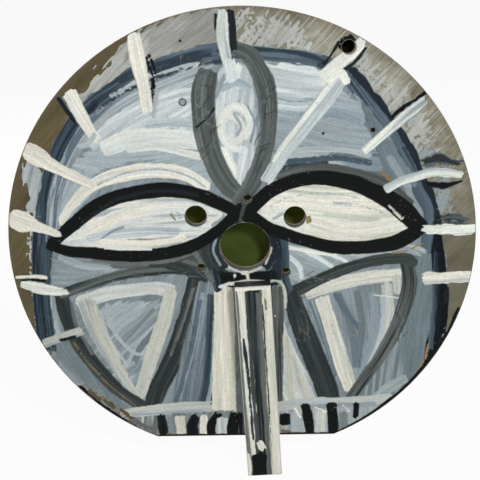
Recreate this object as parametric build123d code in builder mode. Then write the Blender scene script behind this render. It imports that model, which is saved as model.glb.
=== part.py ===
from math import cos, radians, sin
import os

from build123d import *

# Painted wall mask: a round plywood flange with a flat cut along the bottom and a batten for its nose.
# Millimetres. The origin is on the centre bore's axis at the back face; the mask faces -Y and +Z is up.

# Plywood disc
disc_radius = 245.0
disc_shift = -3.6          # the rim was sawn a little off the bore's axis
flat_drop = 224.0          # from the bore's axis down to the flat cut
face_veneer = 1.6
cross_veneer = 2.9
core_veneer = 3.0

# Drilled holes
bore_radius = 26.5
eye_radius = 11.3
eye_places = [(-50.6, 34.2), (52.4, 31.6)]   # drilled by hand, so not quite level
bolt_circle = 104.0
bolt_hole_radius = 4.5
bolt_start_angle = 86.0
bolt_count = 3
rim_hole_radius = 7.2
rim_hole_angle = 61.8
rim_hole_inset = 13.5      # from the rim to the hole's centre

# Old nail holes left in the front: across, up, radius
old_nail_holes = [
    (131.2, 121.3, 2.5),
    (81.1, 118.8, 1.2),
    (-59.4, 213.3, 1.2),
]
old_nail_hole_depth = 6.0

# Nose batten
batten_width = 38.0
batten_thickness = 18.0
batten_top_gap = 12.0      # from the bore's edge down to the batten
batten_top_shift = 7.2
batten_overhang = 41.0     # how far it reaches below the flat
batten_lean = 2.6
batten_arris = 0.7

# Countersunk wood screws, driven from behind
screw_head_radius = 4.0
screw_head_lip = 0.4
screw_shank_radius = 2.0
screw_cover = 5.0          # wood left in front of each screw's point
screw_tip = 5.0
screw_clearance = 0.1
screw_first = 25.0         # from the batten's top end to the first screw
screw_last = 20.0          # from the last screw to the flat
screw_count = 3
cross_slot_length = 4.6
cross_slot_width = 0.9
cross_slot_depth = 1.6

# Flat-headed nail, sunk flush in the forehead
nail_place = (-59.4, 153.2)
nail_head_radius = 2.8
nail_head_thickness = 1.0
nail_shank_radius = 1.2
nail_cover = 2.0           # wood left behind the nail's point
nail_groove = 0.9          # open ring round the sunk head
nail_sink = 0.3            # wood left out under the head
nail_clearance = 0.05

# Round-headed panel pin beside the nose
pin_reach = 42.0           # from the batten's top end, down its right side
pin_gap = 0.6              # between the pin's head and the batten
pin_head_radius = 1.7
pin_head_height = 1.0
pin_shank_radius = 0.9
pin_cover = 3.0            # wood left behind the pin's point
pin_clearance = 0.05

disc_thickness = 2 * face_veneer + 2 * cross_veneer + core_veneer
screw_length = disc_thickness + batten_thickness - screw_cover
nail_length = disc_thickness - nail_cover
pin_length = disc_thickness - pin_cover

rim_hole_reach = disc_radius - rim_hole_inset
rim_hole_place = (
    disc_shift + rim_hole_reach * cos(radians(rim_hole_angle)),
    rim_hole_reach * sin(radians(rim_hole_angle)),
)

# The batten's own plane: origin at the middle of its top end, its X across and its Y up the batten
lean_across = sin(radians(batten_lean))
lean_up = cos(radians(batten_lean))
batten_top = -(bore_radius + batten_top_gap)
batten_length = (flat_drop + batten_overhang + batten_top) / lean_up


def batten_place(reach, aside):
    # A point so far down from the batten's top end and so far to the right of its middle line
    return (
        batten_top_shift + reach * lean_across + aside * lean_up,
        batten_top - reach * lean_up + aside * lean_across,
    )


screw_span = (flat_drop + batten_top) / lean_up - screw_first - screw_last
screw_pitch = screw_span / (screw_count - 1)
screw_places = [batten_place(screw_first + number * screw_pitch, 0) for number in range(screw_count)]
pin_place = batten_place(pin_reach, batten_width / 2 + pin_gap + pin_head_radius)

os.makedirs("parts", exist_ok=True)


def turned_plane(place):
    # Upright plane's half-section: local X is the radius and local Y is the row's Y
    return Plane(origin=(place[0], 0, place[1]), x_dir=(1, 0, 0), z_dir=(0, 0, 1))


def turned_axis(place):
    return Axis((place[0], 0, place[1]), (0, 1, 0))


def screw_outline(clearance, mouth):
    # Half-section of a countersunk screw standing at the back face, or of the hole that holds it
    head = screw_head_radius + clearance
    shank = screw_shank_radius + clearance
    lip = screw_head_lip + clearance
    return [
        (0, mouth),
        (head, mouth),
        (head, -lip),
        (shank, -lip - (head - shank)),
        (shank, screw_tip - screw_length),
        (0, -screw_length - clearance),
    ]


# What the fixings need cut out of the wood
with BuildPart() as screw_holes:
    for place in screw_places:
        with BuildSketch(turned_plane(place)):
            with BuildLine():
                Polyline(*screw_outline(screw_clearance, screw_clearance), close=True)
            make_face()
        revolve(axis=turned_axis(place))

with BuildPart() as nail_hole:
    with BuildSketch(Plane.XZ.offset(disc_thickness)):
        with Locations(nail_place):
            Circle(nail_head_radius + nail_groove)
    extrude(amount=-(nail_head_thickness + nail_sink))
    with BuildSketch(Plane.XZ.offset(disc_thickness)):
        with Locations(nail_place):
            Circle(nail_shank_radius + nail_clearance)
    extrude(amount=-(nail_length + nail_clearance))

with BuildPart() as pin_hole:
    with BuildSketch(Plane.XZ.offset(disc_thickness)):
        with Locations(pin_place):
            Circle(pin_shank_radius + pin_clearance)
    extrude(amount=-(pin_length + pin_clearance))

with BuildPart() as nail_scars:
    with BuildSketch(Plane.XZ.offset(disc_thickness)):
        for across, up, radius in old_nail_holes:
            with Locations((across, up)):
                Circle(radius)
    extrude(amount=-old_nail_hole_depth)

# Five veneers, from the back face to the painted face
veneers = [
    ("back_face_veneer", face_veneer),
    ("back_cross_veneer", cross_veneer),
    ("core_veneer", core_veneer),
    ("front_cross_veneer", cross_veneer),
    ("front_face_veneer", face_veneer),
]
veneer_back = 0.0
for veneer_name, veneer_thickness in veneers:
    with BuildPart() as veneer:
        with BuildSketch(Plane.XZ.offset(veneer_back)):
            with Locations((disc_shift, 0)):
                Circle(disc_radius)
            with Locations((disc_shift, -flat_drop)):
                Rectangle(2 * disc_radius, disc_radius, align=(Align.CENTER, Align.MAX), mode=Mode.SUBTRACT)
            Circle(bore_radius, mode=Mode.SUBTRACT)
            with Locations(*eye_places):
                Circle(eye_radius, mode=Mode.SUBTRACT)
            with PolarLocations(bolt_circle / 2, bolt_count, start_angle=bolt_start_angle):
                Circle(bolt_hole_radius, mode=Mode.SUBTRACT)
            with Locations(rim_hole_place):
                Circle(rim_hole_radius, mode=Mode.SUBTRACT)
        extrude(amount=veneer_thickness)
        add(screw_holes.part, mode=Mode.SUBTRACT)
        add(nail_hole.part, mode=Mode.SUBTRACT)
        add(pin_hole.part, mode=Mode.SUBTRACT)
        add(nail_scars.part, mode=Mode.SUBTRACT)
    veneer.part.label = veneer_name
    export_step(veneer.part, f"parts/{veneer_name}.step")
    veneer_back += veneer_thickness

# Nose batten, lying on the painted face, its sawn arrises just broken
batten_plane = Plane(
    origin=(batten_top_shift, -disc_thickness, batten_top),
    x_dir=(lean_up, 0, lean_across),
    z_dir=(0, -1, 0),
)
with BuildPart() as nose_batten:
    with BuildSketch(batten_plane):
        Rectangle(batten_width, batten_length, align=(Align.CENTER, Align.MAX))
    extrude(amount=batten_thickness)
    front_edges = nose_batten.faces().sort_by(Axis.Y)[0].edges()
    chamfer(front_edges, batten_arris)
    add(screw_holes.part, mode=Mode.SUBTRACT)
nose_batten.part.label = "nose_batten"
export_step(nose_batten.part, "parts/nose_batten.step")

with BuildPart() as nose_screws:
    for place in screw_places:
        with BuildSketch(turned_plane(place)):
            with BuildLine():
                Polyline(*screw_outline(0, 0), close=True)
            make_face()
        revolve(axis=turned_axis(place))
    with BuildSketch(Plane.XZ):
        with Locations(*screw_places):
            Rectangle(cross_slot_length, cross_slot_width)
            Rectangle(cross_slot_width, cross_slot_length)
    extrude(amount=cross_slot_depth, mode=Mode.SUBTRACT)
nose_screws.part.label = "nose_screws"
export_step(nose_screws.part, "parts/nose_screws.step")

with BuildPart() as forehead_nail:
    with BuildSketch(Plane.XZ.offset(disc_thickness)):
        with Locations(nail_place):
            Circle(nail_head_radius)
    extrude(amount=-nail_head_thickness)
    with BuildSketch(Plane.XZ.offset(disc_thickness)):
        with Locations(nail_place):
            Circle(nail_shank_radius)
    extrude(amount=-nail_length)
forehead_nail.part.label = "forehead_nail"
export_step(forehead_nail.part, "parts/forehead_nail.step")

pin_point = pin_length - disc_thickness
pin_crown = -disc_thickness - pin_head_height
with BuildPart() as side_pin:
    with BuildSketch(turned_plane(pin_place)):
        with BuildLine():
            Polyline(
                (0, pin_crown),
                (0, pin_point),
                (pin_shank_radius, pin_point),
                (pin_shank_radius, -disc_thickness),
                (pin_head_radius, -disc_thickness),
            )
            EllipticalCenterArc(
                (0, -disc_thickness),
                pin_head_radius,
                pin_head_height,
                start_angle=270,
                arc_size=90,
            )
        make_face()
    revolve(axis=turned_axis(pin_place))
side_pin.part.label = "side_pin"
export_step(side_pin.part, "parts/side_pin.step")
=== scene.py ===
import math

import bpy
import numpy as np
from mathutils import Matrix, Vector


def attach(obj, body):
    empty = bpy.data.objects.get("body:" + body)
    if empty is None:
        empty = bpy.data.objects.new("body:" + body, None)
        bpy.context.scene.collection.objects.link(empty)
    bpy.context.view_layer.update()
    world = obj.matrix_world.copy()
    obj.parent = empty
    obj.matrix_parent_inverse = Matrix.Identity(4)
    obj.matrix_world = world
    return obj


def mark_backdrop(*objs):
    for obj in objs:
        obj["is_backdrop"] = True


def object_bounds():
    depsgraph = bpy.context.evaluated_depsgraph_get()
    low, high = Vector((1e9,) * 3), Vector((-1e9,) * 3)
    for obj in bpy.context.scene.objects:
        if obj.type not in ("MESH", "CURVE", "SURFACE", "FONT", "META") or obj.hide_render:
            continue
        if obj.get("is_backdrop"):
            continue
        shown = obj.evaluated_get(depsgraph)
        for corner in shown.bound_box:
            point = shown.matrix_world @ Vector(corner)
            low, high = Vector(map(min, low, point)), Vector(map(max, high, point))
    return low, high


# Painted plywood wall mask with a batten nose. Its paint is laid as brush strokes, in millimetres.
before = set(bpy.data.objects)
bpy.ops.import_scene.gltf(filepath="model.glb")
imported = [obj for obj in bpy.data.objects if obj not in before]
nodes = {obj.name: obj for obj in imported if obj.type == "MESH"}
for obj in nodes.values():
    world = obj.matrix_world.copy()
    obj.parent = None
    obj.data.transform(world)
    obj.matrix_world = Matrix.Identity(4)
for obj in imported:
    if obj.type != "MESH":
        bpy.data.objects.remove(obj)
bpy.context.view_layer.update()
mm = 0.001
print("frame loaded:", len(nodes), "nodes")


def addObject(name, data):
    item = bpy.data.objects.new(name, data)
    bpy.context.scene.collection.objects.link(item)
    return item


# Camera
cameraView = dict(
    lens=66.8,
    azimuth=0.906,
    elevation=17.91,
    roll=-1.30,
    place=(0.00895, -0.90057, 0.29469),
)


def makeCamera(view):
    az = math.radians(view["azimuth"])
    el = math.radians(view["elevation"])
    roll = math.radians(view["roll"])
    back = Vector((math.sin(az) * math.cos(el), -math.cos(az) * math.cos(el), math.sin(el)))
    right = (-back).cross(Vector((0, 0, 1))).normalized()
    up = right.cross(-back)
    across = math.cos(roll) * right + math.sin(roll) * up
    upward = math.cos(roll) * up - math.sin(roll) * right
    data = bpy.data.cameras.new("maskCamera")
    data.lens = view["lens"]
    data.sensor_width = 36
    data.clip_start = 0.01
    camera = addObject("maskCamera", data)
    turn = Matrix((across, upward, back)).transposed().to_4x4()
    camera.matrix_world = Matrix.Translation(view["place"]) @ turn
    bpy.context.scene.camera = camera


makeCamera(cameraView)
print("camera set")


# Small helpers for colour and node trees
def linear(colour):
    c = np.array(colour, float) / 255
    return np.where(c <= 0.04045, c / 12.92, ((c + 0.055) / 1.055) ** 2.4)


def newMaterial(name):
    material = bpy.data.materials.new(name)
    material.use_nodes = True
    tree = material.node_tree
    return material, tree, tree.nodes["Principled BSDF"]


def feed(tree, socket, value):
    if isinstance(value, bpy.types.NodeSocket):
        tree.links.new(value, socket)
    else:
        socket.default_value = value


def addNode(tree, kind, settings=None, **inputs):
    node = tree.nodes.new(kind)
    for key, value in (settings or {}).items():
        setattr(node, key, value)
    for key, value in inputs.items():
        numbered = key[0] == "n" and key[1:].isdigit()
        feed(tree, node.inputs[int(key[1:]) if numbered else key], value)
    return node


def rgba(colour):
    return (*linear(colour), 1.0)


def mixColours(tree, factor, first, second, blend="MIX"):
    node = tree.nodes.new("ShaderNodeMix")
    node.data_type = "RGBA"
    node.blend_type = blend
    for number, value in ((0, factor), (6, first), (7, second)):
        plain = isinstance(value, (float, bpy.types.NodeSocket))
        feed(tree, node.inputs[number], value if plain else rgba(value))
    return node.outputs[2]


def noiseNode(tree, vector, scale, detail=2.0, rough=0.5):
    node = addNode(tree, "ShaderNodeTexNoise", Vector=vector, Scale=scale, Detail=detail, Roughness=rough)
    return node.outputs[0]


def rangeNode(tree, value, low, high, toLow=0.0, toHigh=1.0):
    node = addNode(tree, "ShaderNodeMapRange", n0=value, n1=low, n2=high, n3=toLow, n4=toHigh)
    return node.outputs[0]


def mathsNode(tree, operation, first, second):
    return addNode(tree, "ShaderNodeMath", dict(operation=operation), n0=first, n1=second).outputs[0]


def addScaled(tree, first, second, share):
    return mathsNode(tree, "ADD", first, mathsNode(tree, "MULTIPLY", second, share))


def stretched(tree, vector, scale, turn=0.0):
    rotated = addNode(tree, "ShaderNodeMapping", Vector=vector, Rotation=(0, math.radians(turn), 0))
    return addNode(tree, "ShaderNodeMapping", Vector=rotated.outputs[0], Scale=scale).outputs[0]


def objectPlace(tree):
    return addNode(tree, "ShaderNodeTexCoord").outputs["Object"]


def fromAxis(tree, place):
    # how far a point is from the bore's axis
    flat = addNode(tree, "ShaderNodeVectorMath", dict(operation="MULTIPLY"), n0=place, n1=(1, 0, 1))
    size = addNode(tree, "ShaderNodeVectorMath", dict(operation="LENGTH"), n0=flat.outputs[0])
    return size.outputs["Value"]


def addBump(tree, shader, height, strength, distance):
    bump = addNode(tree, "ShaderNodeBump", Strength=strength, Distance=distance, Height=height)
    tree.links.new(bump.outputs[0], shader.inputs["Normal"])


def setShader(tree, shader, colour, rough, specular=None, metal=None):
    values = {"Base Color": colour, "Roughness": rough, "Specular IOR Level": specular, "Metallic": metal}
    for name, value in values.items():
        if value is not None:
            feed(tree, shader.inputs[name], value)


def setSurface(tree, node):
    tree.links.new(node.outputs[0], tree.nodes["Material Output"].inputs["Surface"])


# Floor, cloth behind the holes, and light
studio = dict(
    floorGap=0.0004,
    floorSize=30.0,
    floorColour=(236, 236, 234),
    floorWhite=0.93,
    floorRough=0.9,
    clothColour=(70, 84, 38),
    clothDark=0.72,
    clothPale=1.3,
    # painted shadow on the cloth: its colour, and the distances from the middle over which it comes in
    clothPaintedShadow=(14, 18, 10),
    clothShadowReach=(0.12, 0.2),
    rimPoints=96,
    clothRadius=0.2,
    clothGap=0.013,
    patchPlace=(0.1058, 0.204),
    patchRadius=0.0115,
    patchGap=0.0008,
    skyLight=0.2,
    lamps=[
        dict(name="keyLamp", place=(0.9, -1.9, 1.35), size=0.4, power=42),
        dict(name="fillLamp", place=(-1.6, -1.8, 0.5), size=2.0, power=6),
        dict(name="backLamp", place=(-0.9, 1.9, 1.3), size=1.2, power=26),
    ],
)


def ringPoints(middle, radius, depth, count):
    turns = [2 * math.pi * k / count for k in range(count)]
    return [(middle[0] + radius * math.cos(a), depth, middle[1] + radius * math.sin(a)) for a in turns]


def makeFloor(setting):
    half = setting["floorSize"] / 2
    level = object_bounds()[0][2] - setting["floorGap"]
    mesh = bpy.data.meshes.new("floor")
    corners = [(-half, -half, level), (half, -half, level), (half, half, level), (-half, half, level)]
    mesh.from_pydata(corners, [], [(0, 1, 2, 3)])
    floor = addObject("floor", mesh)
    material, tree, shader = newMaterial("paleFloor")
    setShader(tree, shader, rgba(setting["floorColour"]), setting["floorRough"])
    path = addNode(tree, "ShaderNodeLightPath")
    seen = mathsNode(tree, "MAXIMUM", path.outputs["Is Camera Ray"], path.outputs["Is Glossy Ray"])
    share = mathsNode(tree, "MULTIPLY", seen, setting["floorWhite"])
    glow = addNode(tree, "ShaderNodeEmission", Color=(1, 1, 1, 1), Strength=1.0)
    mixed = addNode(tree, "ShaderNodeMixShader", n0=share, n1=shader.outputs[0], n2=glow.outputs[0])
    setSurface(tree, mixed)
    mesh.materials.append(material)
    return floor


def makeCloth(setting):
    # behind the board and a small patch behind the rim hole, seen only through the holes from in front
    count = setting["rimPoints"]
    mesh = bpy.data.meshes.new("greenCloth")
    rim = ringPoints((0, 0), setting["clothRadius"], setting["clothGap"], count)
    rim += ringPoints(setting["patchPlace"], setting["patchRadius"], setting["patchGap"], count)
    mesh.from_pydata(rim, [], [tuple(range(count)), tuple(range(count, 2 * count))])
    cloth = addObject("greenCloth", mesh)
    material, tree, shader = newMaterial("greenFelt")
    place = objectPlace(tree)
    fuzz = noiseNode(tree, place, 900.0, 4.0, 0.7)
    patch = noiseNode(tree, place, 60.0, 2.0)
    dark, pale = (tuple(setting[k] * c for c in setting["clothColour"]) for k in ("clothDark", "clothPale"))
    tone = mixColours(tree, mathsNode(tree, "MULTIPLY", fuzz, patch), dark, pale)
    middle = addNode(tree, "ShaderNodeVectorMath", dict(operation="LENGTH"), n0=place).outputs["Value"]
    # painted shadow: the cloth darkens towards its edge, and the patch behind the rim hole is all shadow
    # colour
    tone = mixColours(tree, rangeNode(tree, middle, *setting["clothShadowReach"]), tone, setting["clothPaintedShadow"])
    setShader(tree, shader, tone, 1.0, specular=0.1)
    clear = addNode(tree, "ShaderNodeBsdfTransparent")
    front = mathsNode(tree, "SUBTRACT", 1.0, addNode(tree, "ShaderNodeNewGeometry").outputs["Backfacing"])
    seen = mathsNode(tree, "MULTIPLY", front, addNode(tree, "ShaderNodeLightPath").outputs["Is Camera Ray"])
    mixed = addNode(tree, "ShaderNodeMixShader", n0=seen, n1=clear.outputs[0], n2=shader.outputs[0])
    setSurface(tree, mixed)
    mesh.materials.append(material)
    return cloth


def makeSky(setting):
    world = bpy.data.worlds.new("studioWorld")
    bpy.context.scene.world = world
    world.use_nodes = True
    tree = world.node_tree
    path = addNode(tree, "ShaderNodeLightPath")
    seen = mathsNode(tree, "MAXIMUM", path.outputs["Is Camera Ray"], path.outputs["Is Glossy Ray"])
    seen = mathsNode(tree, "MAXIMUM", seen, path.outputs["Is Transmission Ray"])
    level = rangeNode(tree, seen, 0.0, 1.0, setting["skyLight"], 1.0)
    background = tree.nodes["Background"]
    feed(tree, background.inputs["Strength"], level)
    feed(tree, background.inputs["Color"], (1, 1, 1, 1))


def makeLamps(setting):
    for lamp in setting["lamps"]:
        data = bpy.data.lights.new(lamp["name"], "AREA")
        data.size = lamp["size"]
        data.energy = lamp["power"]
        item = addObject(lamp["name"], data)
        item.location = lamp["place"]
        item.rotation_euler = (-Vector(lamp["place"])).to_track_quat("-Z", "Y").to_euler()


def makeStudio(setting):
    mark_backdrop(makeFloor(setting), makeCloth(setting))
    makeSky(setting)
    makeLamps(setting)
    bpy.context.scene.view_settings.view_transform = "Standard"


makeStudio(studio)
print("studio lit")

# Paint colours, from 0 to 255
paints = dict(
    cream=(224, 221, 208), blob=(221, 218, 206), creamGrey=(193, 195, 181), oldCream=(190, 193, 186),
    milk=(219, 223, 214), blueWhite=(208, 215, 216), iceBlue=(169, 178, 181), paleBlue=(156, 171, 176),
    streakBlue=(136, 150, 158), fieldBlue=(141, 152, 157), slate=(88, 103, 114), slateDark=(68, 83, 93),
    midBlue=(102, 115, 121), deepBlue=(46, 59, 68), navy=(30, 41, 52), blackNavy=(8, 14, 18),
    black=(10, 13, 13), soft=(24, 31, 34), graphite=(66, 73, 71), charcoal=(42, 49, 50),
    smoke=(100, 106, 104), washGrey=(130, 131, 126), washPale=(158, 159, 154), haze=(178, 180, 174),
    ochre=(138, 120, 90), tan=(124, 105, 78), wood=(114, 106, 80), lowField=(118, 129, 133),
    rightField=(111, 126, 130),
)
paints = {name: linear(colour) for name, colour in paints.items()}


# Brushwork
seeds = dict(
    grain=5,
    lump=8,
    strokeStep=11,
    face=100,
    layerStep=1000,
    scrapes=7000,
    scrapeStep=40,
    greyFlecks=61,
    paleFlecks=71,
    chips=50,
    nose=20000,
)


def latticeNoise(a, b, seed):
    # smooth noise that repeats after 61 steps one way and 67 the other
    table = np.random.default_rng(seed).random((61, 67))
    ai = np.floor(a).astype(int)
    bi = np.floor(b).astype(int)
    af = a - ai
    bf = b - bi
    af = af * af * (3 - 2 * af)
    bf = bf * bf * (3 - 2 * bf)
    near = table[ai % 61, bi % 67] * (1 - af) + table[(ai + 1) % 61, bi % 67] * af
    far = table[ai % 61, (bi + 1) % 67] * (1 - af) + table[(ai + 1) % 61, (bi + 1) % 67] * af
    return near * (1 - bf) + far * bf


def fade(low, high, x):
    t = np.clip((x - low) / (high - low), 0, 1)
    return t * t * (3 - 2 * t)


def newSheet(low, high, cell, ground):
    x, z = np.meshgrid(np.arange(low[0], high[0] + cell, cell), np.arange(low[1], high[1] + cell, cell))
    return dict(
        low=low, cell=cell, x=x, z=z,
        colour=np.ones(x.shape + (3,)) * paints[ground],
        height=np.zeros(x.shape),
        cover=np.zeros(x.shape),
        brush=np.zeros(x.shape + (3,)),
    )


def smoothLine(points, width, step=2.0, closed=False):
    # curve through given points; a third number is the brush width there
    p = np.array([(q[0], q[1], q[2] if len(q) > 2 else width) for q in points], float)
    if closed:
        p = np.vstack([p[-1], p, p[0], p[1]])
    else:
        p = np.vstack([2 * p[0] - p[1], p, 2 * p[-1] - p[-2]])
    out = []
    for a, b, c, d in zip(p[:-3], p[1:-2], p[2:-1], p[3:]):
        count = max(int(np.hypot(*(c - b)[:2]) / step), 1)
        for t in np.arange(count) / count:
            square = (2 * a - 5 * b + 4 * c - d) * t**2
            cube = (3 * b - a - 3 * c + d) * t**3
            out.append(0.5 * (2 * b + (c - a) * t + square + cube))
    out.append(p[-2])
    line = np.array(out)
    lengths = np.hypot(*np.diff(line[:, :2], axis=0).T)
    return np.column_stack([line, np.concatenate([[0], np.cumsum(lengths)])])


def window(sheet, low, high):
    cell = sheet["cell"]
    rows, columns = sheet["x"].shape
    i = [int(np.clip((v - sheet["low"][0]) / cell, 0, columns)) for v in (low[0], high[0] + cell)]
    j = [int(np.clip((v - sheet["low"][1]) / cell, 0, rows)) for v in (low[1], high[1] + cell)]
    return slice(j[0], j[1]), slice(i[0], i[1])


def alongLine(sheet, line, reach):
    # how far along the line, how far to its left, how far off and how wide, for each cell near it
    area = window(sheet, line[:, :2].min(0) - reach, line[:, :2].max(0) + reach)
    shape = sheet["x"][area].shape
    off = np.full(shape, 1e3)
    along = np.zeros(shape)
    left = np.full(shape, 1e3)
    wide = np.ones(shape)
    last = len(line) - 2
    for k, (a, b) in enumerate(zip(line[:-1], line[1:])):
        part = window(sheet, np.minimum(a, b)[:2] - reach, np.maximum(a, b)[:2] + reach)
        here = tuple(slice(p.start - w.start, p.stop - w.start) for p, w in zip(part, area))
        dx, dz = b[:2] - a[:2]
        size = max(math.hypot(dx, dz), 1e-6)
        px = sheet["x"][part] - a[0]
        pz = sheet["z"][part] - a[1]
        t = (px * dx + pz * dz) / size**2
        clipped = np.clip(t, 0, 1)
        gap = np.hypot(px - clipped * dx, pz - clipped * dz)
        free = np.clip(t, -99 if k == 0 else 0, 99 if k == last else 1)
        near = gap < off[here]
        off[here] = np.where(near, gap, off[here])
        along[here] = np.where(near, a[3] + free * size, along[here])
        side = (dx * pz - dz * px) / size
        endless = ((t < 0) & (k == 0)) | ((t > 1) & (k == last))
        left[here] = np.where(near, np.where(endless, side, np.sign(side) * gap), left[here])
        wide[here] = np.where(near, a[2] + clipped * (b[2] - a[2]), wide[here])
    return area, along, left, off, wide


def layPaint(sheet, area, amount, colour, body, bristle, edge, place):
    amount3 = amount[..., None]
    sheet["colour"][area] = sheet["colour"][area] * (1 - amount3) + colour * amount3
    height = sheet["height"][area]
    lump = latticeNoise(sheet["x"][area] / 3.4, sheet["z"][area] / 3.4, seeds["lump"])
    laid = 0.2 + 0.7 * bristle + 0.7 * edge + 0.6 * lump
    sheet["height"][area] = height * (1 - 0.55 * amount) + amount * body * laid
    sheet["cover"][area] = np.maximum(sheet["cover"][area], amount)
    sheet["brush"][area] = np.where(amount3 > 0.4, place, sheet["brush"][area])


def brushStroke(sheet, paint, width, points, seed, second=None, mix=0.0, contrast=1.0, streak=0.34, dry=0.0,
                endDry=0.0, startDry=0.0, body=0.22, pick=0.0, opacity=1.0, square=2.0, ragged=2.0,
                wobble=0.8, soft=0.45):
    line = smoothLine(points, width)
    length = line[-1, 3]
    area, u, v, _, wide = alongLine(sheet, line, line[:, 2].max() / 2 + 4 + ragged)
    if u.size == 0:
        return
    half = wide / 2
    # bristle lines along the stroke
    fine = latticeNoise(v / 1.5 + 20, u / 36, seed)
    broad = latticeNoise(v / 4.3 + 20, u / 80, seed + 1)
    bristle = 0.55 * fine + 0.45 * broad
    # unsteady sides and ragged ends
    side = np.where(v > 0, 7.3, 31.6)
    shake = (latticeNoise(u / 15, side, seed + 2) - 0.5) * 2 + (latticeNoise(u / 4, side, seed + 3) - 0.5)
    tail = (latticeNoise(v / 1.9 + 20, np.where(u > length / 2, 5.5, 41.5), seed + 4) - 0.45) * 2 * ragged
    over = np.maximum(np.maximum(-u, u - length) - tail, 0)
    inside = half + wobble * shake - np.hypot(v, over * square)
    amount = fade(-soft, soft, inside)
    # gaps where the brush runs dry
    run = u / max(length, 1)
    dryness = dry + endDry * fade(0.35, 1.0, run) + startDry * fade(0.6, 0.0, run)
    grain = latticeNoise(sheet["x"][area] / 1.7, sheet["z"][area] / 1.7, seeds["grain"])
    loaded = 0.62 * bristle + 0.38 * grain - dryness - 0.2 * dryness * np.abs(v) / half
    amount = amount * fade(-0.06, 0.07, loaded + 0.06)
    # colour, with streaks of a second paint
    tone = paints[paint] * (1 + streak * (bristle - 0.5))[..., None]
    if second:
        thin = latticeNoise(v / 1.5 + 9, u / 55, seed + 5)
        streaks = 0.55 * thin + 0.45 * latticeNoise(v / 4 + 9, u / 95, seed + 6)
        blend = np.clip(mix + 1.7 * contrast * (streaks - 0.5), 0, 1)[..., None]
        tone = tone * (1 - blend) + paints[second] * blend
    shown = amount * opacity * (1 - pick * fade(0.42, 0.7, 1 - bristle))
    edge = fade(0.68, 0.93, np.abs(v) / half)
    place = np.dstack([u + seed * 13.7, v, np.full(u.shape, seed * 1.0)])
    layPaint(sheet, area, shown, tone, body, bristle, edge, place)


fieldReach = 14    # how far inside a field's outline is still measured


def insideOutline(x, z, line):
    found = np.zeros(x.shape, bool)
    for a, b in zip(line[:-1], line[1:]):
        if a[1] != b[1]:
            cross = (a[1] > z) != (b[1] > z)
            found ^= cross & (x < (b[0] - a[0]) * (z - a[1]) / (b[1] - a[1]) + a[0])
    return found


def paintField(sheet, tones, angle, outline, seed, ragged=3.0, soft=0.6, body=0.18, bend=0.0, run=70.0,
               gauge=3.2, opacity=1.0, dry=0.0, spread=1.0):
    # an area scrubbed in one direction with two or three tones
    line = smoothLine(outline, 1, step=5.0, closed=True)
    area, _, _, off, _ = alongLine(sheet, line, fieldReach)
    x = sheet["x"][area]
    z = sheet["z"][area]
    signed = np.minimum(off, fieldReach) * np.where(insideOutline(x, z, line), 1, -1)
    turn = math.radians(angle)
    u = x * math.cos(turn) + z * math.sin(turn)
    v = z * math.cos(turn) - x * math.sin(turn) + bend * (u - u.mean()) ** 2 / 1000
    v = v + 5 * (latticeNoise(x / 60, z / 60, seed + 7) - 0.5)
    fine = latticeNoise(v / 1.6 + 40, u / (0.55 * run) + 9, seed)
    broad = latticeNoise(v / gauge + 40, u / run + 9, seed + 1)
    swathe = latticeNoise(v / (5 * gauge) + 40, u / (1.4 * run) + 9, seed + 2)
    bristle = 0.5 * fine + 0.5 * broad
    signed = signed + ragged * 2 * (latticeNoise(v / 2.2 + 40, u / 11 + 9, seed + 3) - 0.5)
    amount = fade(-soft, soft, signed)
    if dry:
        grain = latticeNoise(x / 1.7, z / 1.7, seeds["grain"])
        amount = amount * fade(-0.06, 0.07, 0.62 * bristle + 0.38 * grain - dry + 0.06)
    first = fade(0.5 - 0.4 / spread, 0.5 + 0.4 / spread, 0.55 * broad + 0.45 * swathe)[..., None]
    tone = paints[tones[0]] * (1 - first) + paints[tones[1]] * first
    if len(tones) > 2:
        loose = latticeNoise(v / 3.6 + 40, u / run + 9, seed + 4)
        third = fade(0.58, 0.8, 0.6 * loose + 0.4 * (1 - swathe))[..., None]
        tone = tone * (1 - third) + paints[tones[2]] * third
    tone = tone * (1 + 0.24 * (fine - 0.5))[..., None]
    place = np.dstack([u + seed * 13.7, v, np.full(u.shape, seed * 1.0)])
    layPaint(sheet, area, amount * opacity, tone, body, bristle, np.zeros(u.shape), place)


def stroke(paint, width, *points, **options):
    return brushStroke, paint, width, points, options


def field(tones, angle, *outline, **options):
    return paintField, tones, angle, outline, options


def layGroup(sheet, group, seed):
    for number, (lay, paint, size, points, options) in enumerate(group):
        lay(sheet, paint, size, points, seed + seeds["strokeStep"] * number, **options)


def chipPaint(sheet, points, width, seed, depth=0.5):
    # bare patches where the wood shows through
    line = smoothLine(points, width)
    area, _, _, off, wide = alongLine(sheet, line, width / 2 + 4)
    tear = latticeNoise(sheet["x"][area] / 2.6, sheet["z"][area] / 2.6, seed)
    torn = wide / 2 - off + 3.0 * (tear - depth)
    sheet["cover"][area] = sheet["cover"][area] * (1 - fade(-0.4, 0.4, torn))


def scratchPatch(sheet, tones, middle, spread, angle, count, seed):
    # short thin scrapes thrown over a dark area
    pick = np.random.default_rng(seed)
    for number in range(count):
        x = middle[0] + spread[0] * pick.normal()
        z = middle[1] + spread[1] * pick.normal()
        turn = math.radians(angle + 25 * pick.normal())
        reach = 3 + 6 * pick.random()
        dx = reach * math.cos(turn)
        dz = reach * math.sin(turn)
        ends = [(x - dx, z - dz), (x, z + 0.6), (x + dx, z + dz)]
        brushStroke(sheet, tones[number % len(tones)], 0.9, ends, seed + number, dry=0.3, body=0.05,
                    ragged=1, opacity=0.7)


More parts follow.
